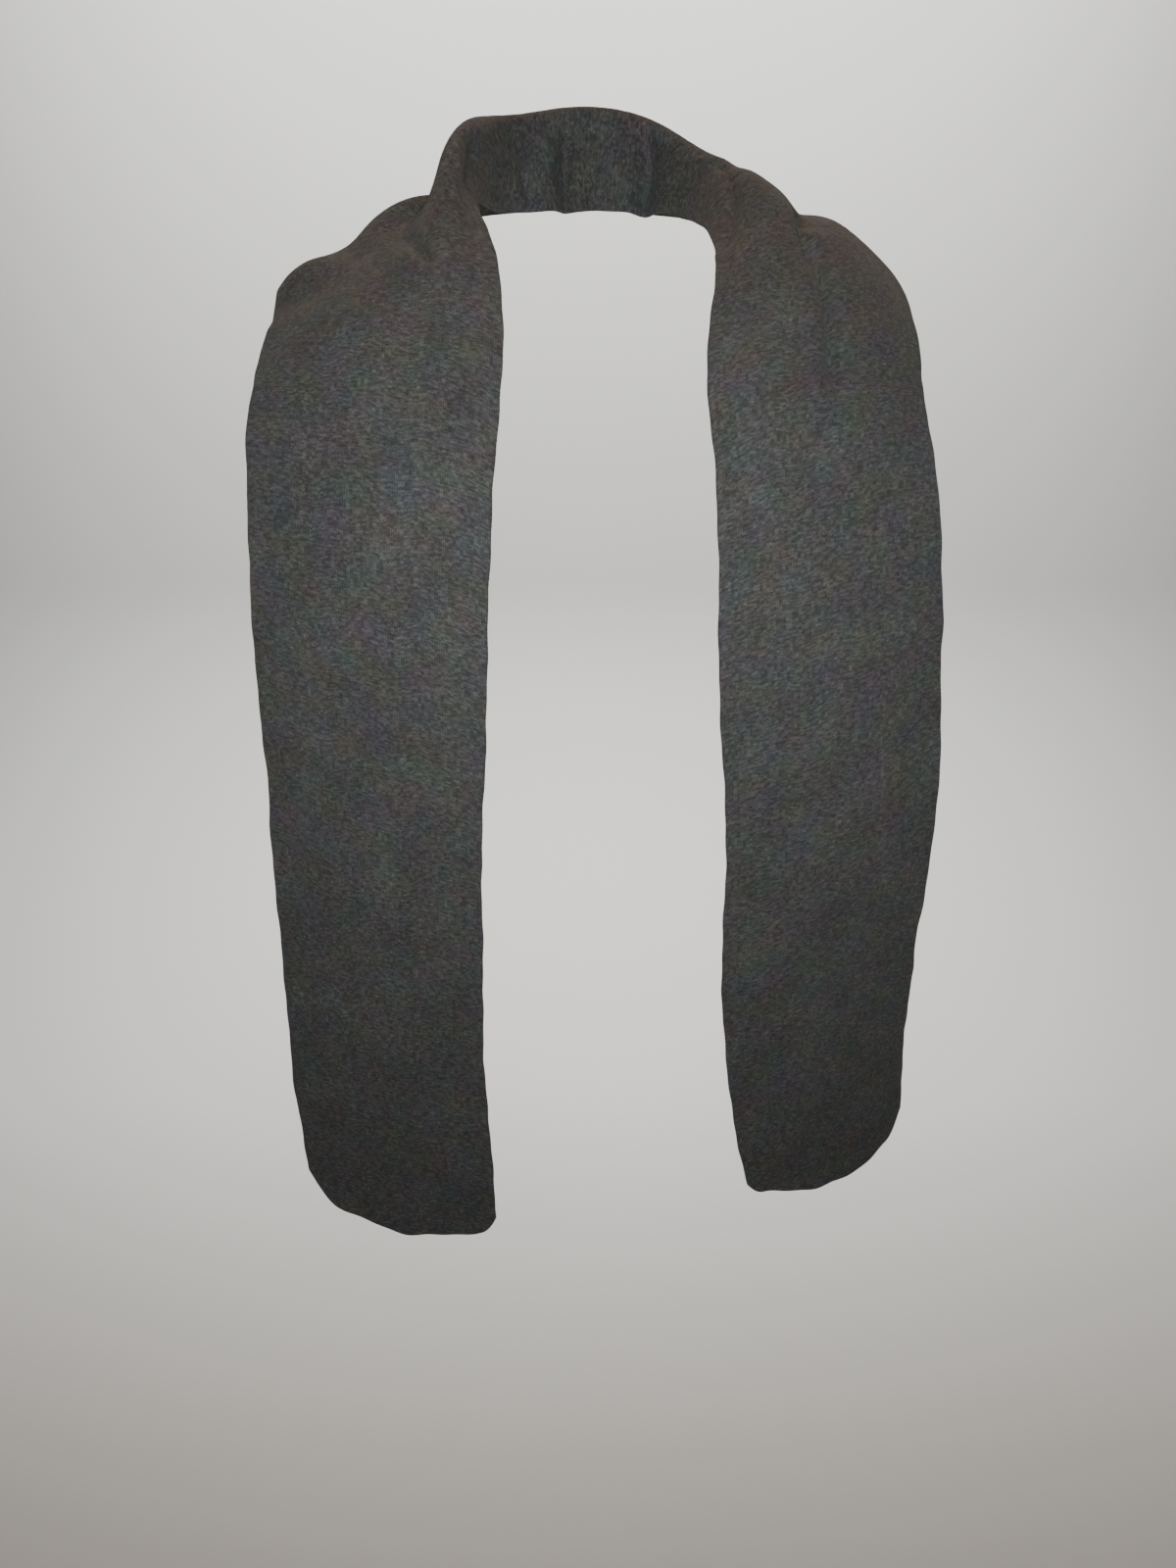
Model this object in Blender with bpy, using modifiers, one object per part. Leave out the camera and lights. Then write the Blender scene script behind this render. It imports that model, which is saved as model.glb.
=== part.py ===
"""Wool scarf, worn: a flattened knitted tube that goes round the back of a neck and hangs down the front in
two lengths.

Metres, +Z up, and the wearer faces -Y. The origin is in the middle of the neck space, level with the lower
edge of the cloth behind the neck. The scarf is one strip, told by its inner edge, which is the one nearest
the neck, and by the angles at which each cross-section leaves that edge:

    inner edge -> stand (up the neck) -> roll -> fall (down outside it) -> flare (over the shoulder) -> edge

On the chest the stand and the fall are nearly flat, so the strip opens out into a plain hanging length.
"""

import bmesh
import bpy
import numpy as np

# ---- Driving dimensions (m, degrees) ---------------------------------------------------------------------
SCARF_WIDTH = 0.152  # flat width of the doubled cloth
CLOTH_THICKNESS = 0.003  # two layers of jersey, lying together
SEAM_GAP = 0.0003  # between one node and the next

GRID_STEP = 0.002  # spacing of the fine grid that the shape is worked out on
INNER_SMOOTHING = 0.006  # how far the inner edge is averaged along the strip
STATION_SMOOTHING = 0.010  # the same for the angles and lengths of the cross-sections
TRAVEL_SMOOTHING = 0.030  # the same for the direction that the strip travels in

FRONT_COLUMNS = 14
NECK_COLUMNS = 28
FRONT_ROW = 0.020
NECK_ROW = 0.0090
END_ROW = 0.002  # a short first and last row, so that neighbours' faces meet at the same slope

CHARCOAL = (0.060, 0.058, 0.058)
CHARCOAL_INSIDE = (0.063, 0.060, 0.060)

# Rounded ends. The cloth stops short of the strip's end by outer at its outer edge, from turn on, and there
# by corner more within OUTER_CORNER of that edge. At its inner edge it stops short by inner. slant is how
# much sooner the inner side ends, where the strip hangs askew.
LEFT_END = {"turn": 0.058, "outer": 0.032, "power": 1.6, "corner": 0.022, "inner": 0.012, "slant": 0.007}
RIGHT_END = {"turn": 0.054, "outer": 0.034, "power": 1.5, "corner": 0.023, "inner": 0.010, "slant": 0.034}
INNER_CORNER = 0.012
OUTER_CORNER = 0.023

# Each station: name, inner edge (x, y, z in mm), lean of the cloth's face from forward (0) to up (90), how
# much the knit is stretched across, then the cross-section: stand angle and mm, roll mm, fall angle and mm,
# turn mm, flare angle, and the angle at the outer edge.
STATIONS = [
    ("left_end", (-70, -110, -748), 0, 1.00, 4, 0, 50, -4, 0, 50, -12, -20),
    ("left_low", (-75, -118, -600), 0, 0.99, 4, 0, 50, -4, 0, 50, -12, -20),
    ("left_mid", (-71, -131, -430), 0, 0.98, 4, 0, 50, -4, 0, 50, -12, -20),
    ("left_bust", (-61, -139, -260), 2, 1.03, 6, 0, 50, -4, 0, 50, -14, -24),
    ("left_chest", (-57, -121, -168), 10, 1.05, 8, 0, 50, -2, 0, 50, -12, -24),
    ("left_collar", (-51, -88, -98), 26, 1.05, 10, 0, 50, 0, 0, 50, -10, -24),
    ("left_clavicle", (-55, -54, -55), 45, 1.015, 12, 10, 50, -6, 0, 50, -12, -28),
    ("left_break", (-65, -20, -22), 66, 0.99, 24, 14, 30, -36, 0, 30, -11, -29),
    ("left_rise", (-71, 0, -10), 75, 1.01, 52, 14, 24, -58, 7, 25, 1, -50),
    ("left_side", (-74, 20, -3), 82, 1.00, 82, 34, 19, -86, 20, 20, 24, -76),
    ("left_nape", (-63, 60, -5), 90, 1.00, 88, 50, 21, -88, 25, 24, -10, -28),
    ("nape_left", (-34, 80, -1), 90, 1.00, 84, 54, 24, -76, 8, 24, -26, -36),
    ("nape", (2, 86, 0), 90, 1.00, 84, 60, 24, -72, 6, 24, -38, -46),
    ("nape_right", (36, 80, -1), 90, 1.00, 80, 49, 24, -60, 6, 24, -24, -34),
    ("right_nape", (63, 58, -8), 90, 1.00, 72, 31, 26, -34, 6, 26, -16, -26),
    ("right_side", (78, 22, -18), 84, 0.98, 60, 26, 30, -28, 6, 30, -18, -36),
    ("right_break", (82, -16, -34), 66, 0.94, 36, 14, 50, -20, 0, 40, -20, -46),
    ("right_clavicle", (79, -52, -56), 45, 0.92, 16, 0, 60, -8, 0, 50, -14, -40),
    ("right_collar", (72, -86, -98), 26, 0.95, 8, 0, 60, -6, 0, 50, -14, -32),
    ("right_chest", (77, -121, -168), 10, 0.94, 6, 0, 50, -4, 0, 50, -12, -24),
    ("right_bust", (80, -139, -260), 2, 0.98, 6, 0, 50, -4, 0, 50, -14, -24),
    ("right_mid", (92, -131, -420), 0, 0.98, 4, 0, 50, -4, 0, 50, -14, -22),
    ("right_low", (96, -121, -545), 0, 0.96, 2, 0, 50, -6, 0, 50, -16, -24),
    ("right_hem", (110, -114, -640), 0, 0.94, 0, 0, 50, -8, 0, 50, -18, -32),
    ("right_end", (131, -108, -740), 0, 0.92, -4, 0, 50, -12, 0, 50, -24, -46),
]

# Soft folds: name, half width, depth, where + is towards the cloth's face, how far it takes to fade in from
# each end, and its line in the cloth as places (along the strip, across it), all in m.
FOLDS = [
    ("nape flute, left", 0.0050, -0.0085, 0.020, [(0.905, -0.012), (0.906, 0.028), (0.908, 0.060)]),
    ("nape valley, left", 0.0110, -0.0055, 0.020, [(0.912, -0.014), (0.911, 0.028), (0.910, 0.058)]),
    ("nape flute, right", 0.0060, -0.0085, 0.020, [(0.959, -0.012), (0.957, 0.028), (0.954, 0.058)]),
    ("nape valley, right", 0.0130, -0.0050, 0.020, [(0.961, -0.014), (0.959, 0.028), (0.956, 0.054)]),
    ("nape, small", 0.0050, -0.0055, 0.014, [(0.881, 0.000), (0.874, 0.036)]),
    ("left roll", 0.0075, -0.0050, 0.016, [(0.824, 0.044), (0.813, 0.022), (0.790, 0.004)]),
    ("left pocket", 0.0095, -0.0105, 0.014, [(0.834, 0.098), (0.812, 0.096), (0.798, 0.086), (0.784, 0.070)]),
    ("left hollow", 0.0060, -0.0060, 0.018, [(0.797, 0.080), (0.781, 0.066), (0.753, 0.052), (0.722, 0.036)]),
    ("left shoulder", 0.012, -0.008, 0.030, [(0.814, 0.18), (0.803, 0.135), (0.778, 0.096), (0.752, 0.076)]),
    ("left crest", 0.0120, 0.0035, 0.020, [(0.772, 0.160), (0.776, 0.135), (0.764, 0.110)]),
    ("right dimple", 0.0095, -0.0070, 0.012, [(1.000, 0.046), (1.016, 0.040), (1.034, 0.030)]),
    ("right roll", 0.0080, -0.0055, 0.020, [(1.020, 0.038), (1.041, 0.026), (1.066, 0.012), (1.094, 0.000)]),
    ("right valley", 0.0130, -0.0080, 0.024, [(0.98, 0.104), (1.015, 0.1), (1.04, 0.09), (1.075, 0.067)]),
    ("right notch", 0.0060, -0.0060, 0.014, [(1.045, 0.081), (1.075, 0.066), (1.102, 0.071)]),
    ("right front", 0.0065, -0.0075, 0.050, [(1.062, 0.06), (1.108, 0.072), (1.15, 0.08), (1.22, 0.082)]),
]

# The stations where the stretch round the neck meets the two front lengths.
LEFT_SEAM = "left_clavicle"
RIGHT_SEAM = "right_clavicle"


# ---- The strip's shape -----------------------------------------------------------------------------------
def ease(x):
    """0 to 1, with a soft start and a soft end."""
    x = np.clip(x, 0.0, 1.0)
    return x * x * (3.0 - 2.0 * x)


def unit(v):
    return v / np.maximum(np.linalg.norm(v, axis=-1, keepdims=True), 1e-12)


def smooth_curve(u, at, values):
    """The smooth curve that takes values at the places at, read at the places u."""
    gap = np.diff(at)
    slope = np.diff(values, axis=0) / gap[:, None]
    tangent = np.zeros_like(values)
    tangent[0], tangent[-1] = slope[0], slope[-1]
    share = (gap[1:] / (gap[1:] + gap[:-1]))[:, None]
    tangent[1:-1] = slope[:-1] * share + slope[1:] * (1.0 - share)
    i = np.clip(np.searchsorted(at, u, side="right") - 1, 0, len(at) - 2)
    t = ((u - at[i]) / gap[i])[:, None]
    gap = gap[i][:, None]
    return (
        (2 * t**3 - 3 * t**2 + 1) * values[i]
        + (t**3 - 2 * t**2 + t) * gap * tangent[i]
        + (3 * t**2 - 2 * t**3) * values[i + 1]
        + (t**3 - t**2) * gap * tangent[i + 1]
    )


def averaged(rows, reach):
    """A moving average along rows, made three times, that keeps the two ends."""
    n = int(round(reach / GRID_STEP))
    for _ in range(3):
        before = 2 * rows[:1] - rows[n:0:-1]
        after = 2 * rows[-1:] - rows[-2 : -n - 2 : -1]
        padded = np.concatenate([np.zeros_like(rows[:1]), before, rows, after])
        total = np.cumsum(padded, axis=0)
        rows = (total[2 * n + 1 :] - total[: -2 * n - 1]) / (2 * n + 1)
    return rows


def running_sum(values, spacing):
    """The integral across the strip, from 0 at the inner edge."""
    steps = (values[:, 1:] + values[:, :-1]) / 2 * spacing
    return np.concatenate([np.zeros((len(values), 1)), np.cumsum(steps, axis=1)], axis=1)


def section_angles(t, stand, stand_length, roll, fall, fall_length, turn, flare, last):
    """The angle of the cloth at each place t of every cross-section, in degrees from straight outward."""
    angle = stand + (fall - stand) * ease((t - stand_length) / np.maximum(roll, 0.001))
    turn_starts = stand_length + roll + fall_length
    angle = angle + (flare - fall) * ease((t - turn_starts) / turn)
    droop_starts = turn_starts + turn / 2
    droop = np.clip((t - droop_starts) / np.maximum(SCARF_WIDTH - droop_starts, 0.001), 0, 1)
    return angle + (last - flare) * droop


def fold_shift(u, t):
    """How far the soft folds move the cloth along its normal."""
    u, t = np.meshgrid(u, t, indexing="ij")
    shift = np.zeros(u.shape)
    for _, half_width, depth, fade, line in FOLDS:
        nearest = np.full(u.shape, 1.0)
        along = np.zeros(u.shape)
        length = 0.0
        for (u0, t0), (u1, t1) in zip(line, line[1:]):
            size = np.hypot(u1 - u0, t1 - t0)
            share = np.clip(((u - u0) * (u1 - u0) + (t - t0) * (t1 - t0)) / size**2, 0, 1)
            away = np.hypot(u - u0 - share * (u1 - u0), t - t0 - share * (t1 - t0))
            along = np.where(away < nearest, length + share * size, along)
            nearest = np.minimum(nearest, away)
            length += size
        fading = ease(along / fade) * ease((length - along) / fade)
        shift += depth * fading * np.exp(-((nearest / half_width) ** 2))
    return shift


def strip():
    """The stations' places along the inner edge, then the fine grid's places and its points."""
    edge = np.array([station[1] for station in STATIONS]) / 1000.0
    at = np.concatenate([[0.0], np.cumsum(np.linalg.norm(np.diff(edge, axis=0), axis=1))])
    u = np.linspace(0.0, at[-1], int(at[-1] / GRID_STEP) + 1)
    t = np.linspace(0.0, SCARF_WIDTH, int(round(SCARF_WIDTH / GRID_STEP)) + 1)

    inner = averaged(smooth_curve(u, at, edge), INNER_SMOOTHING)
    numbers = smooth_curve(u, at, np.array([station[2:] for station in STATIONS], float))
    numbers = averaged(numbers, STATION_SMOOTHING)
    lean, stretch, stand, stand_mm, roll_mm, fall, fall_mm, turn_mm, flare, last = numbers.T[:, :, None]

    # Each cross-section lies in the plane of out and face, square to the way that the strip travels.
    travel = unit(np.gradient(averaged(inner, TRAVEL_SMOOTHING), axis=0))
    lean = np.radians(lean[:, 0])
    face = np.stack([np.zeros_like(lean), -np.cos(lean), np.sin(lean)], axis=1)
    face = unit(face - (face * travel).sum(axis=1, keepdims=True) * travel)
    out = np.cross(face, travel)

    angle = np.radians(
        section_angles(
            t, stand, stand_mm / 1000, roll_mm / 1000, fall, fall_mm / 1000, turn_mm / 1000, flare, last
        )
    )
    spacing = t[1] * stretch
    outward = running_sum(np.cos(angle), spacing)[..., None] * out[:, None]
    raised = running_sum(np.sin(angle), spacing)[..., None] * face[:, None]
    points = inner[:, None] + outward + raised
    normals = unit(np.cross(np.gradient(points, axis=0), np.gradient(points, axis=1)))
    return at, u, t, points + fold_shift(u, t)[..., None] * normals


def end_line(t, turn, outer, power, corner, inner, slant):
    """How far the cloth stops short of the strip's end, at each place t across it."""
    sweep = outer * np.clip((t - turn) / (SCARF_WIDTH - turn), 0, 1) ** power
    outer_corner = corner * np.clip(1 - (SCARF_WIDTH - t) / OUTER_CORNER, 0, 1) ** 2
    inner_corner = inner * np.clip(1 - t / INNER_CORNER, 0, 1) ** 2
    return sweep + outer_corner + inner_corner + slant * (1 - t / SCARF_WIDTH)


# ---- Making the pieces -----------------------------------------------------------------------------------
def clear_scene():
    for ob in list(bpy.data.objects):
        bpy.data.objects.remove(ob)


def wool(name, colour):
    material = bpy.data.materials.new(name)
    material.use_nodes = True
    shader = material.node_tree.nodes["Principled BSDF"]
    shader.inputs["Base Color"].default_value = (*colour, 1.0)
    shader.inputs["Roughness"].default_value = 0.95
    material.diffuse_color = (*colour, 1.0)
    return material


def length_of_cloth(name, grid, first, last, columns, row, colour, collection):
    """One length of the strip, from first to last, which are places along it for each place across it."""
    _, u, t, points = grid
    length = (last - first).max()
    end_row = END_ROW / length
    shares = np.linspace(end_row, 1 - end_row, int(round(length / row)))
    shares = np.concatenate([[0.0], shares, [1.0]])
    mesh = bpy.data.meshes.new(name)
    bm = bmesh.new()
    bmesh.ops.create_grid(bm, x_segments=len(shares) - 1, y_segments=columns, size=0.5)
    for vert in bm.verts:
        i = int(round((vert.co.x + 0.5) * (len(shares) - 1)))
        j = int(round((vert.co.y + 0.5) * (len(t) - 1)))
        place = first[j] + (last[j] - first[j]) * shares[i]
        vert.co = [np.interp(place, u, points[:, j, axis]) for axis in range(3)]
    bm.to_mesh(mesh)
    bm.free()
    mesh.shade_smooth()
    mesh.materials.append(wool(name + "_wool", colour))
    ob = bpy.data.objects.new(name, mesh)
    collection.objects.link(ob)

    cloth = ob.modifiers.new("cloth", "SOLIDIFY")
    cloth.thickness = CLOTH_THICKNESS
    cloth.offset = 0.0
    return ob


def main():
    clear_scene()
    scarf = bpy.data.collections.new("wool_scarf")
    bpy.context.scene.collection.children.link(scarf)

    grid = strip()
    at, _, t, _ = grid
    names = [station[0] for station in STATIONS]
    level = np.ones_like(t)
    left_seam = at[names.index(LEFT_SEAM)] * level
    right_seam = at[names.index(RIGHT_SEAM)] * level
    half_gap = SEAM_GAP / 2
    left_end = end_line(t, **LEFT_END)
    right_end = at[-1] - end_line(t, **RIGHT_END)

    length_of_cloth(
        "left_front", grid, left_end, left_seam - half_gap, FRONT_COLUMNS, FRONT_ROW, CHARCOAL, scarf
    )
    length_of_cloth(
        "neck_back", grid, left_seam + half_gap, right_seam - half_gap, NECK_COLUMNS, NECK_ROW,
        CHARCOAL_INSIDE, scarf
    )
    length_of_cloth(
        "right_front", grid, right_seam + half_gap, right_end, FRONT_COLUMNS, FRONT_ROW, CHARCOAL, scarf
    )


main()
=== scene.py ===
"""Wool scarf, worn: the finished cloth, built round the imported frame.

The scarf is a tube of wool jersey pressed flat, 152 mm wide, with a wall of 1.2 mm. It follows the same
strip as the frame's solids: an inner edge, and the angles at which each cross-section leaves it. The mesh
has the tube's outer and inner skins, its folded edges and its closed ends. The knit is in the material.
"""

import bpy
import numpy as np
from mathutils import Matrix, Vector


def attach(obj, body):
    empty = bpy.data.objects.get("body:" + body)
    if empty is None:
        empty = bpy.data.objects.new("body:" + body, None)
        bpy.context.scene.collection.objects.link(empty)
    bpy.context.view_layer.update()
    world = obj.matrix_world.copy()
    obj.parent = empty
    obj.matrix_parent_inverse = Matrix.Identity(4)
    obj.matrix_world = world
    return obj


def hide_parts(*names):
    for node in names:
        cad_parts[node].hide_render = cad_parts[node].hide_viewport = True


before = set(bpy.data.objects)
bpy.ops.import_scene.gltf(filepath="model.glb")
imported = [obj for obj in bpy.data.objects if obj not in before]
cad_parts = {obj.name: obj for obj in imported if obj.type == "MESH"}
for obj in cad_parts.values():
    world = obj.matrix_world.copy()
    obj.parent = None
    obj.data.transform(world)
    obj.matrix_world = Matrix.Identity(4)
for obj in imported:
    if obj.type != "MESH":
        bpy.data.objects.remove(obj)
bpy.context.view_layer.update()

# ---- Driving dimensions (m, degrees) ---------------------------------------------------------------------
SCARF_WIDTH = 0.152  # flat width of the tube
CLOTH_THICKNESS = 0.003  # its two walls, lying together
WALL = 0.0012  # one wall of jersey
WALE = 0.0020  # width of one stitch
COURSE = 0.0014  # height of one stitch

GRID_STEP = 0.001  # spacing of the fine grid that the shape is worked out on
INNER_SMOOTHING = 0.006  # how far the inner edge is averaged along the strip
STATION_SMOOTHING = 0.010  # the same for the angles and lengths of the cross-sections
TRAVEL_SMOOTHING = 0.030  # the same for the direction that the strip travels in

MIDDLE_COLUMNS = 62  # across the strip, between its folded edges
EDGE_STEPS = 4  # round half of a folded edge
LEFT_ROWS = 270
NECK_ROWS = 230
RIGHT_ROWS = 270

# Rounded ends. The cloth stops short of the strip's end by outer at its outer edge, from turn on, and there
# by corner more within OUTER_CORNER of that edge. At its inner edge it stops short by inner. slant is how
# much sooner the inner side ends, where the strip hangs askew.
LEFT_END = {"turn": 0.058, "outer": 0.032, "power": 1.6, "corner": 0.022, "inner": 0.012, "slant": 0.007}
RIGHT_END = {"turn": 0.054, "outer": 0.034, "power": 1.5, "corner": 0.023, "inner": 0.010, "slant": 0.034}
INNER_CORNER = 0.012
OUTER_CORNER = 0.023

# Each station: name, inner edge (x, y, z in mm), lean of the cloth's face from forward (0) to up (90), how
# much the knit is stretched across, then the cross-section: stand angle and mm, roll mm, fall angle and mm,
# turn mm, flare angle, and the angle at the outer edge.
STATIONS = [
    ("left_end", (-70, -110, -748), 0, 1.00, 4, 0, 50, -4, 0, 50, -12, -20),
    ("left_low", (-75, -118, -600), 0, 0.99, 4, 0, 50, -4, 0, 50, -12, -20),
    ("left_mid", (-71, -131, -430), 0, 0.98, 4, 0, 50, -4, 0, 50, -12, -20),
    ("left_bust", (-61, -139, -260), 2, 1.03, 6, 0, 50, -4, 0, 50, -14, -24),
    ("left_chest", (-57, -121, -168), 10, 1.05, 8, 0, 50, -2, 0, 50, -12, -24),
    ("left_collar", (-51, -88, -98), 26, 1.05, 10, 0, 50, 0, 0, 50, -10, -24),
    ("left_clavicle", (-55, -54, -55), 45, 1.015, 12, 10, 50, -6, 0, 50, -12, -28),
    ("left_break", (-65, -20, -22), 66, 0.99, 24, 14, 30, -36, 0, 30, -11, -29),
    ("left_rise", (-71, 0, -10), 75, 1.01, 52, 14, 24, -58, 7, 25, 1, -50),
    ("left_side", (-74, 20, -3), 82, 1.00, 82, 34, 19, -86, 20, 20, 24, -76),
    ("left_nape", (-63, 60, -5), 90, 1.00, 88, 50, 21, -88, 25, 24, -10, -28),
    ("nape_left", (-34, 80, -1), 90, 1.00, 84, 54, 24, -76, 8, 24, -26, -36),
    ("nape", (2, 86, 0), 90, 1.00, 84, 60, 24, -72, 6, 24, -38, -46),
    ("nape_right", (36, 80, -1), 90, 1.00, 80, 49, 24, -60, 6, 24, -24, -34),
    ("right_nape", (63, 58, -8), 90, 1.00, 72, 31, 26, -34, 6, 26, -16, -26),
    ("right_side", (78, 22, -18), 84, 0.98, 60, 26, 30, -28, 6, 30, -18, -36),
    ("right_break", (82, -16, -34), 66, 0.94, 36, 14, 50, -20, 0, 40, -20, -46),
    ("right_clavicle", (79, -52, -56), 45, 0.92, 16, 0, 60, -8, 0, 50, -14, -40),
    ("right_collar", (72, -86, -98), 26, 0.95, 8, 0, 60, -6, 0, 50, -14, -32),
    ("right_chest", (77, -121, -168), 10, 0.94, 6, 0, 50, -4, 0, 50, -12, -24),
    ("right_bust", (80, -139, -260), 2, 0.98, 6, 0, 50, -4, 0, 50, -14, -24),
    ("right_mid", (92, -131, -420), 0, 0.98, 4, 0, 50, -4, 0, 50, -14, -22),
    ("right_low", (96, -121, -545), 0, 0.96, 2, 0, 50, -6, 0, 50, -16, -24),
    ("right_hem", (110, -114, -640), 0, 0.94, 0, 0, 50, -8, 0, 50, -18, -32),
    ("right_end", (131, -108, -740), 0, 0.92, -4, 0, 50, -12, 0, 50, -24, -46),
]
LEFT_SEAM = "left_clavicle"
NAPE = "nape"
RIGHT_SEAM = "right_clavicle"

# Soft folds: name, half width, depth, where + is towards the cloth's face, how far it takes to fade in from
# each end, and its line in the cloth as places (along the strip, across it), all in m.
FOLDS = [
    ("nape flute, left", 0.0050, -0.0085, 0.020, [(0.905, -0.012), (0.906, 0.028), (0.908, 0.060)]),
    ("nape valley, left", 0.0110, -0.0055, 0.020, [(0.912, -0.014), (0.911, 0.028), (0.910, 0.058)]),
    ("nape flute, right", 0.0060, -0.0085, 0.020, [(0.959, -0.012), (0.957, 0.028), (0.954, 0.058)]),
    ("nape valley, right", 0.0130, -0.0050, 0.020, [(0.961, -0.014), (0.959, 0.028), (0.956, 0.054)]),
    ("nape, small", 0.0050, -0.0055, 0.014, [(0.881, 0.000), (0.874, 0.036)]),
    ("left roll", 0.0075, -0.0050, 0.016, [(0.824, 0.044), (0.813, 0.022), (0.790, 0.004)]),
    ("left pocket", 0.0095, -0.0105, 0.014, [(0.834, 0.098), (0.812, 0.096), (0.798, 0.086), (0.784, 0.070)]),
    ("left hollow", 0.0060, -0.0060, 0.018, [(0.797, 0.080), (0.781, 0.066), (0.753, 0.052), (0.722, 0.036)]),
    ("left shoulder", 0.012, -0.008, 0.030, [(0.814, 0.18), (0.803, 0.135), (0.778, 0.096), (0.752, 0.076)]),
    ("left crest", 0.0120, 0.0035, 0.020, [(0.772, 0.160), (0.776, 0.135), (0.764, 0.110)]),
    ("right dimple", 0.0095, -0.0070, 0.012, [(1.000, 0.046), (1.016, 0.040), (1.034, 0.030)]),
    ("right roll", 0.0080, -0.0055, 0.020, [(1.020, 0.038), (1.041, 0.026), (1.066, 0.012), (1.094, 0.000)]),
    ("right valley", 0.0130, -0.0080, 0.024, [(0.98, 0.104), (1.015, 0.1), (1.04, 0.09), (1.075, 0.067)]),
    ("right notch", 0.0060, -0.0060, 0.014, [(1.045, 0.081), (1.075, 0.066), (1.102, 0.071)]),
    ("right front", 0.0065, -0.0075, 0.050, [(1.062, 0.06), (1.108, 0.072), (1.15, 0.08), (1.22, 0.082)]),
]

# Slow waves in the hanging cloth: height, then the distance between crests along and across the strip, and
# where in its turn the wave starts.
WAVES = [
    (0.0007, 0.170, 0.310, 0.10),
    (0.0005, 0.094, -0.220, 0.55),
    (0.0003, 0.053, 0.140, 0.80),
]
# How the long edges and the two ends wander in and out: reach, distance between crests, start of the turn.
EDGE_WANDER = [(0.0005, 0.163, 0.2), (0.0003, 0.067, 0.7), (0.0002, 0.029, 0.4)]
HEM_WANDER = [(0.0010, 0.052, 0.3), (0.0005, 0.027, 0.1)]
EDGE_WANDER_FADE = 0.020
OUTER_EDGE_START = 0.5  # how far along the waves the outer edge starts, so that the two edges differ

# The knit.
KNIT_GIVE = 0.75  # how much of the outer edge's longer way round is taken up by stretching
LEG_LEAN = 1.7  # courses that a stitch's leg climbs from the middle of its column to the next
LOOP_LOW = 0.35  # how high a leg lies where it goes behind the next, against 1 at its top
STITCH_RELIEF = 0.0004
RELIEF_STRENGTH = 0.6
FIBRE_RELIEF = 0.35  # against 1 for the stitch
ROUGHNESS = 0.92
SPECULAR = 0.25
SHEEN_WEIGHT = 0.10
SHEEN_ROUGHNESS = 0.45
SHEEN_TINT = (0.62, 0.60, 0.58)

# The heather yarn: its colour, then the sizes of its runs of light and dark, its fibres and its patches.
CHARCOAL = (0.060, 0.0575, 0.058)
HEATHER_RUN = 0.0050
FIBRE_LENGTH = 0.0010
FIBRE_WIDTH = 0.0004
PATCH = 0.045
TINT_PATCH = 0.024
TINT_STRENGTH = 0.20
# How many times the brightness doubles between the lightest and the darkest.
RUN_CONTRAST = 1.6
STITCH_CONTRAST = 0.9
FIBRE_CONTRAST = 1.2
# Painted shade: the stitch's relief darkens the colour, deepest in the hollows where each leg dips behind the
# next.
HOLLOW_PAINTED_SHADE = 0.7
PATCH_CONTRAST = 0.5

# The studio.
CAMERA_PLACE = (0.0, -0.825, -0.1095)
CAMERA_PITCH = 20.0  # degrees down
CAMERA_LENS = 26.0  # mm
CAMERA_SENSOR = 36.0  # mm
FLOOR_LEVEL = -1.35
FLOOR_BACK = 0.9
FLOOR_BEND = 0.8
FLOOR_BEND_POINTS = 25
FLOOR_REACH = 4.0
FLOOR_ROUGHNESS = 0.9
FLOOR_COLOUR = (0.74, 0.73, 0.71)
AIR_COLOUR = (1.0, 1.0, 0.92)
AIR_STRENGTH = 0.075
# Each softbox: name, place, the place it points at, size, watts, colour, and how wide its beam spreads (m, W,
# degrees).
SOFTBOXES = [
    ("key", (0.0, -0.95, -0.03), (0.0, -0.1, -0.19), (0.45, 0.35), 4.1, (0.94, 1.0, 0.97), 110.0),
    ("top", (0.0, 0.36, 0.95), (0.0, 0.05, 0.0), (0.8, 0.4), 2.6, (1.0, 0.58, 0.32), 120.0),
    ("wall", (0.0, 1.0, 1.7), (0.0, 1.9, -0.8), (2.4, 0.6), 40.0, (1.0, 1.0, 1.0), 80.0),
]


# ---- The strip's shape, as in the frame ------------------------------------------------------------------
def ease(x):
    """0 to 1, with a soft start and a soft end."""
    x = np.clip(x, 0.0, 1.0)
    return x * x * (3.0 - 2.0 * x)


def unit(v):
    return v / np.maximum(np.linalg.norm(v, axis=-1, keepdims=True), 1e-12)


def smooth_curve(u, at, values):
    """The smooth curve that takes values at the places at, read at the places u."""
    gap = np.diff(at)
    slope = np.diff(values, axis=0) / gap[:, None]
    tangent = np.zeros_like(values)
    tangent[0], tangent[-1] = slope[0], slope[-1]
    share = (gap[1:] / (gap[1:] + gap[:-1]))[:, None]
    tangent[1:-1] = slope[:-1] * share + slope[1:] * (1.0 - share)
    i = np.clip(np.searchsorted(at, u, side="right") - 1, 0, len(at) - 2)
    t = ((u - at[i]) / gap[i])[:, None]
    gap = gap[i][:, None]
    return (
        (2 * t**3 - 3 * t**2 + 1) * values[i]
        + (t**3 - 2 * t**2 + t) * gap * tangent[i]
        + (3 * t**2 - 2 * t**3) * values[i + 1]
        + (t**3 - t**2) * gap * tangent[i + 1]
    )


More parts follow.
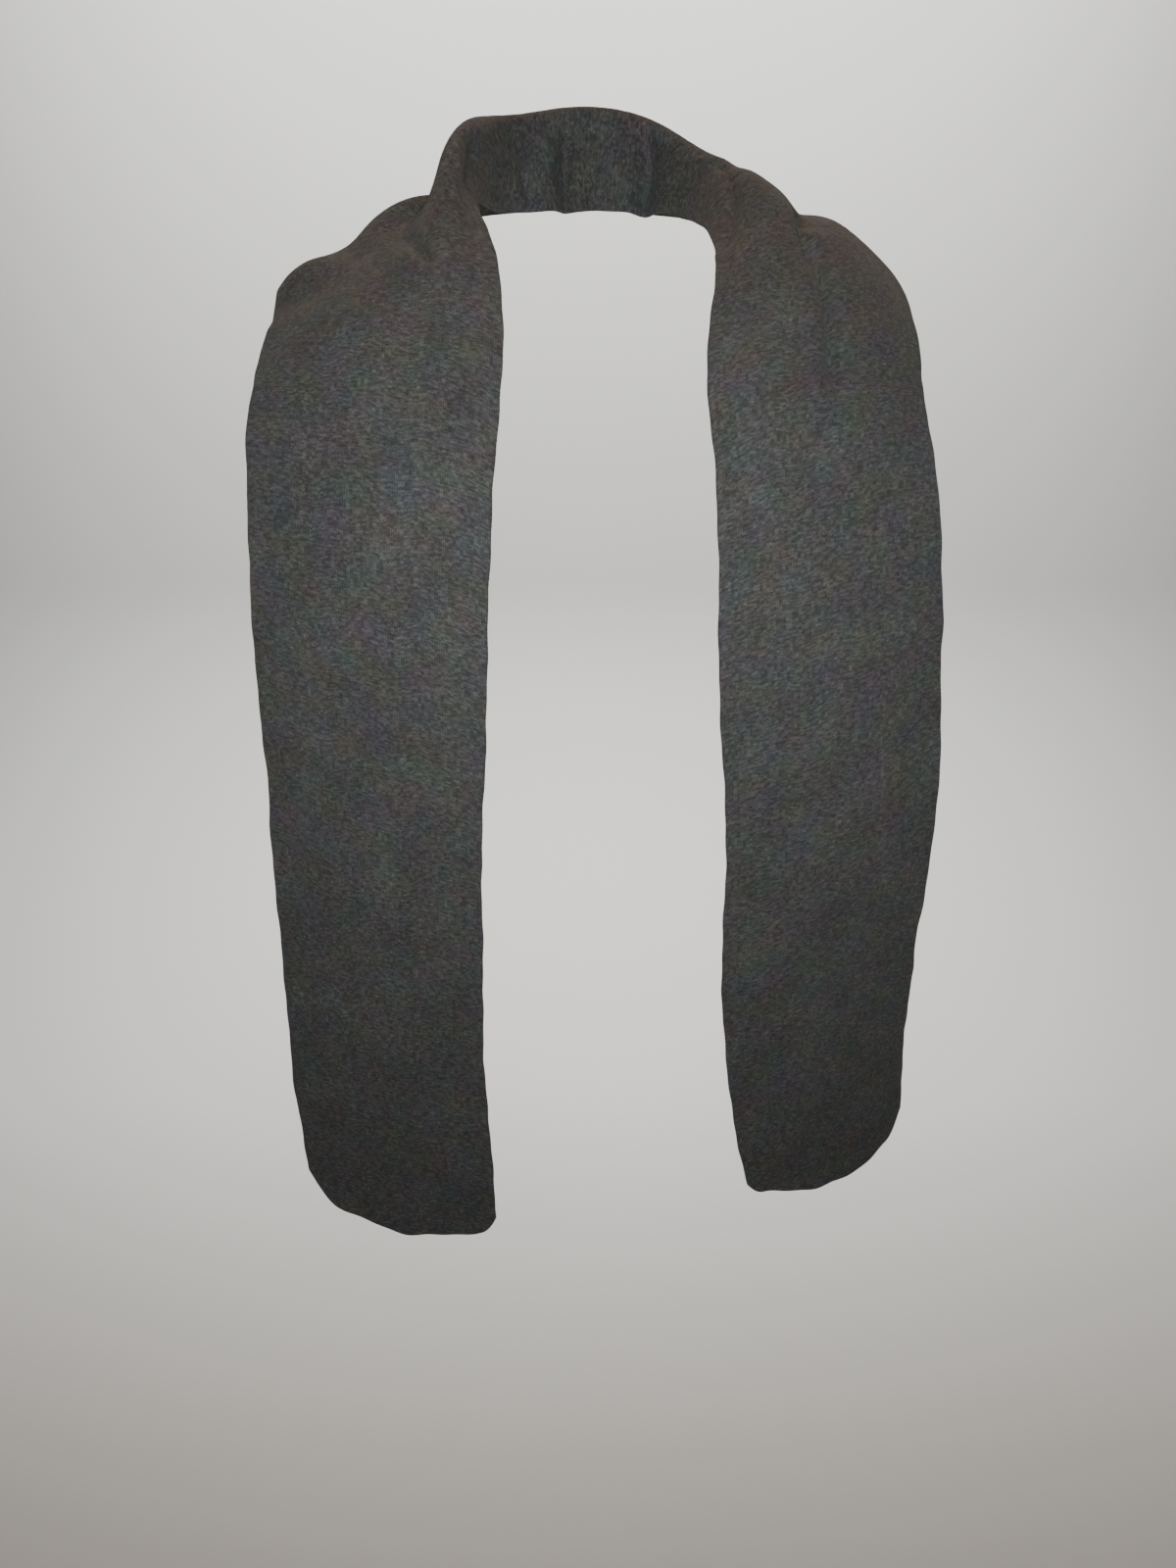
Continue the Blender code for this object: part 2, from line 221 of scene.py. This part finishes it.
def averaged(rows, reach):
    """A moving average along rows, made three times, that keeps the two ends."""
    n = int(round(reach / GRID_STEP))
    for _ in range(3):
        before = 2 * rows[:1] - rows[n:0:-1]
        after = 2 * rows[-1:] - rows[-2 : -n - 2 : -1]
        padded = np.concatenate([np.zeros_like(rows[:1]), before, rows, after])
        total = np.cumsum(padded, axis=0)
        rows = (total[2 * n + 1 :] - total[: -2 * n - 1]) / (2 * n + 1)
    return rows


def running_sum(values, spacing):
    """The integral across the strip, from 0 at the inner edge."""
    steps = (values[:, 1:] + values[:, :-1]) / 2 * spacing
    return np.concatenate([np.zeros((len(values), 1)), np.cumsum(steps, axis=1)], axis=1)


def section_angles(t, stand, stand_length, roll, fall, fall_length, turn, flare, last):
    """The angle of the cloth at each place t of every cross-section, in degrees from straight outward."""
    angle = stand + (fall - stand) * ease((t - stand_length) / np.maximum(roll, 0.001))
    turn_starts = stand_length + roll + fall_length
    angle = angle + (flare - fall) * ease((t - turn_starts) / turn)
    droop_starts = turn_starts + turn / 2
    droop = np.clip((t - droop_starts) / np.maximum(SCARF_WIDTH - droop_starts, 0.001), 0, 1)
    return angle + (last - flare) * droop


def fold_shift(u, t):
    """How far the soft folds move the cloth along its normal."""
    u, t = np.meshgrid(u, t, indexing="ij")
    shift = np.zeros(u.shape)
    for _, half_width, depth, fade, line in FOLDS:
        nearest = np.full(u.shape, 1.0)
        along = np.zeros(u.shape)
        length = 0.0
        for (u0, t0), (u1, t1) in zip(line, line[1:]):
            size = np.hypot(u1 - u0, t1 - t0)
            share = np.clip(((u - u0) * (u1 - u0) + (t - t0) * (t1 - t0)) / size**2, 0, 1)
            away = np.hypot(u - u0 - share * (u1 - u0), t - t0 - share * (t1 - t0))
            along = np.where(away < nearest, length + share * size, along)
            nearest = np.minimum(nearest, away)
            length += size
        fading = ease(along / fade) * ease((length - along) / fade)
        shift += depth * fading * np.exp(-((nearest / half_width) ** 2))
    return shift


def strip():
    """The stations' places along the inner edge, then the fine grid's places and its points."""
    edge = np.array([station[1] for station in STATIONS]) / 1000.0
    at = np.concatenate([[0.0], np.cumsum(np.linalg.norm(np.diff(edge, axis=0), axis=1))])
    u = np.linspace(0.0, at[-1], int(at[-1] / GRID_STEP) + 1)
    t = np.linspace(0.0, SCARF_WIDTH, int(round(SCARF_WIDTH / GRID_STEP)) + 1)

    inner = averaged(smooth_curve(u, at, edge), INNER_SMOOTHING)
    numbers = smooth_curve(u, at, np.array([station[2:] for station in STATIONS], float))
    numbers = averaged(numbers, STATION_SMOOTHING)
    lean, stretch, stand, stand_mm, roll_mm, fall, fall_mm, turn_mm, flare, last = numbers.T[:, :, None]

    # Each cross-section lies in the plane of out and face, square to the way that the strip travels.
    travel = unit(np.gradient(averaged(inner, TRAVEL_SMOOTHING), axis=0))
    lean = np.radians(lean[:, 0])
    face = np.stack([np.zeros_like(lean), -np.cos(lean), np.sin(lean)], axis=1)
    face = unit(face - (face * travel).sum(axis=1, keepdims=True) * travel)
    out = np.cross(face, travel)

    angle = np.radians(
        section_angles(
            t, stand, stand_mm / 1000, roll_mm / 1000, fall, fall_mm / 1000, turn_mm / 1000, flare, last
        )
    )
    spacing = t[1] * stretch
    outward = running_sum(np.cos(angle), spacing)[..., None] * out[:, None]
    raised = running_sum(np.sin(angle), spacing)[..., None] * face[:, None]
    points = inner[:, None] + outward + raised
    normals = unit(np.cross(np.gradient(points, axis=0), np.gradient(points, axis=1)))
    return at, u, t, points + fold_shift(u, t)[..., None] * normals


def end_line(t, turn, outer, power, corner, inner, slant):
    """How far the cloth stops short of the strip's end, at each place t across it."""
    sweep = outer * np.clip((t - turn) / (SCARF_WIDTH - turn), 0, 1) ** power
    outer_corner = corner * np.clip(1 - (SCARF_WIDTH - t) / OUTER_CORNER, 0, 1) ** 2
    inner_corner = inner * np.clip(1 - t / INNER_CORNER, 0, 1) ** 2
    return sweep + outer_corner + inner_corner + slant * (1 - t / SCARF_WIDTH)


# ---- What the frame leaves out: slow waves and wandering edges --------------------------------------------
def turns(u, parts):
    """The sum of sine waves, each with its reach, the distance between its crests and its start."""
    return sum(reach * np.sin(2 * np.pi * (u / crests + start)) for reach, crests, start in parts)


def soften(u, t, points):
    """The grid with slow waves in its cloth and edges that aren't quite straight."""
    across = unit(np.gradient(points, axis=1))
    normals = unit(np.cross(np.gradient(points, axis=0), across))
    wave = sum(
        height * np.sin(2 * np.pi * (u[:, None] / along + t[None] / over + start))
        for height, along, over, start in WAVES
    )
    near_inner = np.exp(-t / EDGE_WANDER_FADE)
    near_outer = np.exp(-(SCARF_WIDTH - t) / EDGE_WANDER_FADE)
    inner_wander = turns(u, EDGE_WANDER)[:, None]
    outer_wander = turns(u + OUTER_EDGE_START, EDGE_WANDER)[:, None]
    wander = inner_wander * near_inner + outer_wander * near_outer
    return points + wave[..., None] * normals + wander[..., None] * across


# ---- The tube of jersey -----------------------------------------------------------------------------------
def quarter_turn(radius):
    """Places from a folded edge inwards, evenly round its curve."""
    return radius * (1 - np.cos(np.linspace(0, np.pi / 2, EDGE_STEPS + 1)))


def between(first, last, rows):
    """Rows that go evenly from first to last, without first itself."""
    share = np.linspace(0, 1, rows + 1)[1:, None]
    return first + (last - first) * share


def rounded(depth, radius):
    """Half the thickness of a flat tube at this depth in from its folded edge."""
    return radius * np.sqrt(np.clip(1 - (1 - np.minimum(depth, radius) / radius) ** 2, 0, 1))


def read(values, grid, along, t):
    """Values of the fine grid at the places along and t."""
    u, t_grid = grid
    row = np.clip(np.searchsorted(u, along) - 1, 0, len(u) - 2)
    column = np.clip(np.searchsorted(t_grid, t) - 1, 0, len(t_grid) - 2)[None] + 0 * row
    share_u = ((along - u[row]) / (u[1] - u[0]))[..., None]
    share_t = ((t[None] - t_grid[column]) / (t_grid[1] - t_grid[0]))[..., None]
    near = values[row, column] * (1 - share_t) + values[row, column + 1] * share_t
    far = values[row + 1, column] * (1 - share_t) + values[row + 1, column + 1] * share_t
    return near * (1 - share_u) + far * share_u


def cloth_length(points, nape):
    """How far along the cloth each point of the grid is from the nape, whose row in the grid is given.

    The outer edge goes a longer way round than the inner one. The knit takes up KNIT_GIVE of the difference
    by stretching and the rest by lying aslant, so that in front its courses drop towards the inner edge.
    """
    steps = np.linalg.norm(np.diff(points, axis=0), axis=2)
    length = np.concatenate([np.zeros((1, steps.shape[1])), np.cumsum(steps, axis=0)])
    length = length - length[nape]
    return (KNIT_GIVE * length[:, :1] + (1 - KNIT_GIVE) * length)[..., None]


def rows_along(at, u, t, inset, half):
    """The places along the strip of each row of the skin, for each place t across it."""
    turn = quarter_turn(half)
    hem = turns(t, HEM_WANDER)
    first = end_line(t, **LEFT_END) + hem + inset
    last = u[-1] - end_line(t, **RIGHT_END) + hem - inset
    left_seam = at[LEFT_SEAM] * np.ones_like(t)
    right_seam = at[RIGHT_SEAM] * np.ones_like(t)
    return np.concatenate(
        [
            first + turn[:, None],
            between(first + half, left_seam, LEFT_ROWS),
            between(left_seam, right_seam, NECK_ROWS),
            between(right_seam, last - half, RIGHT_ROWS),
            last - turn[-2::-1, None],
        ]
    )


def places_in_knit(t, travelled):
    """Each point's place round the tube and along it, the way that the knit goes.

    Each ring has a last place for the same point as its first, a whole turn further round the knit.
    """
    round_tube = np.concatenate([t, 2 * SCARF_WIDTH - t[-2::-1]])
    round_tube = np.broadcast_to(round_tube, (len(travelled), len(round_tube)))
    along_tube = np.concatenate([travelled, travelled[:, -2::-1]], axis=1)
    return np.stack([round_tube, along_tube], axis=-1)


def skin(shape, inset, half):
    """One skin of the tube from end to end: its rings of points, their normals and their places in the knit.

    There is one ring for each row along the strip. inset is how far the skin lies inside the tube's folded
    edges and ends, and half is half the thickness of what it encloses.
    """
    at, u, t_grid, points = shape
    grid = (u, t_grid)
    turn = quarter_turn(half)
    low, high = inset, SCARF_WIDTH - inset
    middle = np.linspace(low + half, high - half, MIDDLE_COLUMNS + 1)
    t = np.concatenate([low + turn[:-1], middle, high - turn[-2::-1]])
    along = rows_along(at, u, t, inset, half)

    from_end = np.full(len(along), half)
    from_end[: len(turn)] = turn
    from_end[-len(turn) :] = turn[::-1]
    from_edge = np.minimum(t - low, high - t)
    offset = rounded(np.minimum(from_edge[None], from_end[:, None]), half)[..., None]

    normals = unit(np.cross(np.gradient(points, axis=0), np.gradient(points, axis=1)))
    centre = read(points, grid, along, t)
    normal = unit(read(normals, grid, along, t))
    rings = np.concatenate([centre + offset * normal, (centre - offset * normal)[:, -2:0:-1]], axis=1)
    sideways = np.roll(rings, -1, axis=1) - np.roll(rings, 1, axis=1)
    ring_normals = unit(np.cross(np.gradient(rings, axis=0), sideways))

    nape = int(np.searchsorted(u, at[NAPE]))
    travelled = read(cloth_length(points, nape), grid, along, t)[..., 0]
    return rings, ring_normals, places_in_knit(t, travelled)


def numbering(rows, ring, closed_first, closed_last):
    """The number of each ring's points, with the first again at the end. A closed end's two sides are one."""
    numbers = np.arange(rows * ring).reshape(rows, ring)
    far_side = np.arange(ring // 2 + 1, ring)
    if closed_first:
        numbers[0, far_side] = numbers[0, ring - far_side]
    if closed_last:
        numbers[-1, far_side] = numbers[-1, ring - far_side]
    return np.concatenate([numbers, numbers[:, :1]], axis=1)


def quads(numbers, inward):
    """The corners of the faces between neighbouring rows, as places in the table of numbers."""
    rows, ring = np.meshgrid(np.arange(len(numbers) - 1), np.arange(numbers.shape[1] - 1), indexing="ij")
    rows, ring = rows.ravel(), ring.ravel()
    corners = [(rows, ring), (rows + 1, ring), (rows + 1, ring + 1), (rows, ring + 1)]
    if inward:
        corners.reverse()
    return np.stack([row * numbers.shape[1] + column for row, column in corners], axis=1)


def rim(around, within, at_last_row):
    """The faces that close an end between the outer and the inner skin."""
    corners = [around[:-1], around[1:], within[1:], within[:-1]]
    if at_last_row:
        corners.reverse()
    return np.stack(corners, axis=1)


def cloth_mesh(name, places, normals, faces, in_knit):
    """A smooth mesh of four-cornered faces. in_knit has a place for each corner of each face."""
    used, faces = np.unique(faces, return_inverse=True)
    mesh = bpy.data.meshes.new(name)
    mesh.from_pydata(places[used], [], faces.reshape(-1, 4))
    mesh.shade_smooth()
    layer = mesh.uv_layers.new(name="cloth")
    layer.data.foreach_set("uv", in_knit.ravel())
    mesh.normals_split_custom_set_from_vertices(normals[used])
    return mesh


def length_of_tube(name, outer, inner, first, last, material):
    """The piece of the tube between two rows. Where it isn't the scarf's own end, a rim joins the skins."""
    closed = (first == 0, last == len(outer[0]) - 1)
    places, normals, in_knit, faces, tables = [], [], [], [], []
    start = 0
    for skin_parts, inward in ((outer, False), (inner, True)):
        rings, ring_normals, ring_knit = (part[first : last + 1] for part in skin_parts)
        table = numbering(*rings.shape[:2], *closed)
        corners = quads(table, inward)
        faces.append(table.ravel()[corners] + start)
        in_knit.append(ring_knit.reshape(-1, 2)[corners])
        places.append(rings.reshape(-1, 3))
        normals.append(ring_normals.reshape(-1, 3) * (-1 if inward else 1))
        tables.append(table + start)
        start += rings.shape[0] * rings.shape[1]
    for row, cloth_row, is_closed in ((0, first, closed[0]), (-1, last, closed[1])):
        if not is_closed:
            faces.append(rim(tables[0][row], tables[1][row], row == -1))
            in_knit.append(np.repeat(outer[2][cloth_row][:-1, None], 4, axis=1))

    joined = (np.concatenate(part) for part in (places, normals, faces, in_knit))
    mesh = cloth_mesh(name, *joined)
    mesh.materials.append(material)
    piece = bpy.data.objects.new(name, mesh)
    bpy.context.scene.collection.objects.link(piece)
    return piece


# ---- Wool jersey ------------------------------------------------------------------------------------------
class Recipe:
    """A material's nodes, made by short calls that each return an output socket."""

    def __init__(self, name):
        self.material = bpy.data.materials.new(name)
        self.material.use_nodes = True
        self.tree = self.material.node_tree
        self.shader = self.tree.nodes["Principled BSDF"]

    def node(self, kind, **settings):
        made = self.tree.nodes.new(kind)
        for setting, value in settings.items():
            setattr(made, setting, value)
        return made

    def feed(self, socket, value):
        if isinstance(value, bpy.types.NodeSocket):
            self.tree.links.new(value, socket)
        else:
            socket.default_value = value

    def math(self, operation, *values):
        made = self.node("ShaderNodeMath", operation=operation)
        for socket, value in zip(made.inputs, values):
            self.feed(socket, value)
        return made.outputs[0]

    def point(self, x, y):
        made = self.node("ShaderNodeCombineXYZ")
        self.feed(made.inputs["X"], x)
        self.feed(made.inputs["Y"], y)
        return made.outputs[0]

    def noise(self, place, detail=2.0, roughness=0.5):
        made = self.node("ShaderNodeTexNoise", noise_dimensions="2D")
        self.feed(made.inputs["Vector"], place)
        made.inputs["Scale"].default_value = 1.0
        made.inputs["Detail"].default_value = detail
        made.inputs["Roughness"].default_value = roughness
        return made

    def spread(self, value, low, high, to_low, to_high):
        """value between low and high, taken to between to_low and to_high."""
        made = self.node("ShaderNodeMapRange")
        for socket, number in zip(made.inputs, (value, low, high, to_low, to_high)):
            self.feed(socket, number)
        return made.outputs[0]

    def scaled(self, colour, factor):
        made = self.node("ShaderNodeVectorMath", operation="SCALE")
        self.feed(made.inputs[0], colour)
        self.feed(made.inputs["Scale"], factor)
        return made.outputs[0]


def wool_jersey():
    """Stocking stitch in a charcoal heather yarn: columns of V-shaped stitches along the scarf."""
    wool = Recipe("wool_jersey")
    place = wool.node("ShaderNodeUVMap", uv_map="cloth").outputs[0]
    apart = wool.node("ShaderNodeSeparateXYZ")
    wool.feed(apart.inputs[0], place)
    across, along = apart.outputs["X"], apart.outputs["Y"]

    # A stitch: how far from the middle of its column, and how far up its two leaning legs.
    wale = wool.math("DIVIDE", across, WALE)
    course = wool.math("DIVIDE", along, COURSE)
    from_middle = wool.math("ABSOLUTE", wool.math("SUBTRACT", wool.math("FRACT", wale), 0.5))
    up_leg = wool.math("SUBTRACT", course, wool.math("MULTIPLY", from_middle, LEG_LEAN))
    leg = wool.math("SINE", wool.math("MULTIPLY", from_middle, 2 * np.pi))
    loop = wool.math("COSINE", wool.math("MULTIPLY", up_leg, 2 * np.pi))
    stitch = wool.math("MULTIPLY", leg, wool.spread(loop, -1, 1, LOOP_LOW, 1.0))

    # The heather: every stitch its own mix of light and dark fibres, in short runs along each course. The
    # stitch's relief also darkens the colour where its legs dip behind the next, as painted shade in the
    # hollows.
    stitch_number = wool.point(wool.math("FLOOR", wale), wool.math("FLOOR", up_leg))
    white = wool.node("ShaderNodeTexWhiteNoise", noise_dimensions="2D")
    wool.feed(white.inputs["Vector"], stitch_number)
    run_place = wool.point(wool.math("DIVIDE", across, HEATHER_RUN), wool.math("DIVIDE", along, COURSE))
    run = wool.noise(run_place, 1.0).outputs[0]
    fibre_across = wool.math("DIVIDE", across, FIBRE_LENGTH)
    fibre_along = wool.math("DIVIDE", along, FIBRE_WIDTH)
    fibre = wool.noise(wool.point(fibre_across, fibre_along), 1.0).outputs[0]
    patch = wool.noise(wool.scaled(place, 1 / PATCH), 2.0).outputs[0]
    light = 0.0
    for part, contrast in (
        (run, RUN_CONTRAST),
        (white.outputs[0], STITCH_CONTRAST),
        (fibre, FIBRE_CONTRAST),
        # painted shade in the stitch hollows, from the stitch's relief
        (stitch, HOLLOW_PAINTED_SHADE),
        (patch, PATCH_CONTRAST),
    ):
        light = wool.math("MULTIPLY_ADD", wool.math("SUBTRACT", part, 0.5), contrast, light)
    brightness = wool.math("POWER", 2.0, light)

    tint = wool.node("ShaderNodeMix", data_type="RGBA", blend_type="OVERLAY")
    tint.inputs["Factor"].default_value = TINT_STRENGTH
    tint.inputs["A"].default_value = (*CHARCOAL, 1.0)
    wool.feed(tint.inputs["B"], wool.noise(wool.scaled(place, 1 / TINT_PATCH), 1.0).outputs["Color"])
    wool.feed(wool.shader.inputs["Base Color"], wool.scaled(tint.outputs["Result"], brightness))

    wool.shader.inputs["Roughness"].default_value = ROUGHNESS
    wool.shader.inputs["Specular IOR Level"].default_value = SPECULAR
    wool.shader.inputs["Sheen Weight"].default_value = SHEEN_WEIGHT
    wool.shader.inputs["Sheen Roughness"].default_value = SHEEN_ROUGHNESS
    wool.shader.inputs["Sheen Tint"].default_value = (*SHEEN_TINT, 1.0)

    relief = wool.math("MULTIPLY_ADD", fibre, FIBRE_RELIEF, stitch)
    bump = wool.node("ShaderNodeBump")
    bump.inputs["Strength"].default_value = RELIEF_STRENGTH
    bump.inputs["Distance"].default_value = STITCH_RELIEF
    wool.feed(bump.inputs["Height"], relief)
    wool.feed(wool.shader.inputs["Normal"], bump.outputs[0])
    return wool.material


# ---- Studio -----------------------------------------------------------------------------------------------
def matte(name, colour):
    recipe = Recipe(name)
    recipe.shader.inputs["Base Color"].default_value = (*colour, 1.0)
    recipe.shader.inputs["Roughness"].default_value = FLOOR_ROUGHNESS
    return recipe.material


def backdrop():
    """A pale floor that curves up into a wall behind."""
    angles = np.linspace(0, np.pi / 2, FLOOR_BEND_POINTS)[:, None]
    bend = np.array([[FLOOR_BACK, FLOOR_LEVEL + FLOOR_BEND]])
    curve = bend + FLOOR_BEND * np.concatenate([np.sin(angles), -np.cos(angles)], axis=1)
    profile = np.concatenate(
        [[[-FLOOR_REACH, FLOOR_LEVEL]], curve, [[FLOOR_BACK + FLOOR_BEND, FLOOR_LEVEL + FLOOR_REACH]]]
    )
    points = [(x, y, z) for y, z in profile for x in (-FLOOR_REACH, FLOOR_REACH)]
    faces = [(2 * i, 2 * i + 1, 2 * i + 3, 2 * i + 2) for i in range(len(profile) - 1)]
    mesh = bpy.data.meshes.new("backdrop")
    mesh.from_pydata(points, [], faces)
    mesh.shade_smooth()
    mesh.materials.append(matte("pale_floor", FLOOR_COLOUR))
    floor = bpy.data.objects.new("backdrop", mesh)
    bpy.context.scene.collection.objects.link(floor)
    return floor


def softbox(name, place, target, size, watts, colour, beam):
    lamp = bpy.data.lights.new(name, "AREA")
    lamp.shape = "RECTANGLE"
    lamp.size, lamp.size_y = size
    lamp.energy = watts
    lamp.color = colour
    lamp.spread = np.radians(beam)
    ob = bpy.data.objects.new(name, lamp)
    ob.location = place
    ob.rotation_euler = (Vector(target) - Vector(place)).to_track_quat("-Z", "Y").to_euler()
    bpy.context.scene.collection.objects.link(ob)


def air(colour, strength):
    world = bpy.data.worlds.new("studio_air")
    world.use_nodes = True
    background = world.node_tree.nodes["Background"]
    background.inputs["Color"].default_value = (*colour, 1.0)
    background.inputs["Strength"].default_value = strength
    bpy.context.scene.world = world


def camera():
    data = bpy.data.cameras.new("camera")
    data.lens = CAMERA_LENS
    data.sensor_width = CAMERA_SENSOR
    ob = bpy.data.objects.new("camera", data)
    ob.location = CAMERA_PLACE
    ob.rotation_euler = (np.radians(90.0 - CAMERA_PITCH), 0.0, 0.0)
    bpy.context.scene.collection.objects.link(ob)
    bpy.context.scene.camera = ob


# ---- Putting it together ----------------------------------------------------------------------------------
def main():
    at, u, t, points = strip()
    at = dict(zip((station[0] for station in STATIONS), at))
    shape = (at, u, t, soften(u, t, points))
    half = CLOTH_THICKNESS / 2
    outer = skin(shape, 0.0, half)
    inner = skin(shape, WALL, half - WALL)

    last_row = len(outer[0]) - 1
    left_row = EDGE_STEPS + LEFT_ROWS
    right_row = left_row + NECK_ROWS
    material = wool_jersey()
    for node, first, last, held, rests_on in (
        ("left_front", 0, left_row, "hung", ["neck_back"]),
        ("neck_back", left_row, right_row, "draped", []),
        ("right_front", right_row, last_row, "hung", ["neck_back"]),
    ):
        piece = length_of_tube(node + "_knit", outer, inner, first, last, material)
        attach(piece, "root")
        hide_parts(node)

    backdrop()
    camera()
    for lamp in SOFTBOXES:
        softbox(*lamp)
    air(AIR_COLOUR, AIR_STRENGTH)


main()
